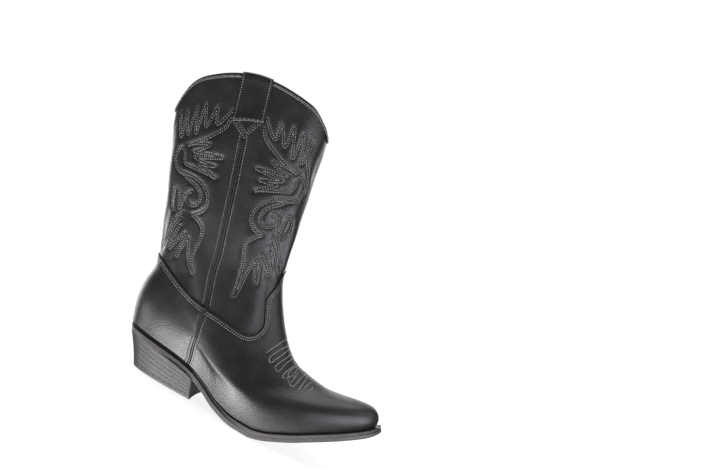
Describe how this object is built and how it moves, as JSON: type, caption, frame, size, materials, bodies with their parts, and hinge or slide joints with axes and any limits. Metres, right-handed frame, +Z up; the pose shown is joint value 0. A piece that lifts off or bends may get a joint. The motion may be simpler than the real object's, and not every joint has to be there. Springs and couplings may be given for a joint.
{
  "type": "cowboy boot",
  "caption": "Black leather western boot for the right foot, with a scalloped shaft, pull straps, a pointed toe, a welted sole and an underslung stacked heel.",
  "frame": {"origin": "bottom centre of the boot's box, on the ground under the waist of the sole", "axes": "+X toward the toe, +Y toward the inner side of the foot, +Z up"},
  "size_m": [0.3604, 0.098, 0.3361],
  "materials": {
    "upper_leather": "black, finely grained, soft satin sheen",
    "piping_leather": "black, smooth, slightly glossy",
    "lining_leather": "dark, matt, slightly napped",
    "stiffener_board": "raw fibre, matt",
    "insole_leather": "undyed, matt",
    "cork": "granular, matt",
    "sole_leather": "dark brown-grey edge, waxed",
    "heel_stack": "near-black, fine layered striations, satin",
    "heel_rubber": "matt",
    "spring_steel": "plain"
  },
  "bodies": {
    "root": {"vamp": "upper_leather", "counter_cover": "upper_leather", "shaft_front": "upper_leather", "shaft_back": "upper_leather", "side_piping_lateral": "piping_leather", "side_piping_medial": "piping_leather", "pull_strap_lateral": "upper_leather", "pull_strap_medial": "upper_leather", "strap_patch_lateral": "upper_leather", "strap_patch_medial": "upper_leather", "top_binding_front": "piping_leather", "top_binding_back": "piping_leather", "shaft_lining_front": "lining_leather", "shaft_lining_back": "lining_leather", "vamp_lining": "lining_leather", "counter_lining": "lining_leather", "heel_counter_stiffener": "stiffener_board", "toe_puff": "stiffener_board", "sock_lining": "lining_leather", "insole_board": "insole_leather", "bottom_filler": "cork", "shank": "spring_steel", "welt": "sole_leather", "heel_rand": "sole_leather", "outsole": "sole_leather", "heel_lift_1": "heel_stack", "heel_lift_2": "heel_stack", "heel_lift_3": "heel_stack", "heel_lift_4": "heel_stack", "heel_lift_5": "heel_stack", "heel_top_piece": "heel_rubber", "heel_nail_1": "spring_steel", "heel_nail_2": "spring_steel", "heel_nail_3": "spring_steel", "heel_nail_4": "spring_steel", "heel_nail_5": "spring_steel"}
  },
  "joints": []
}
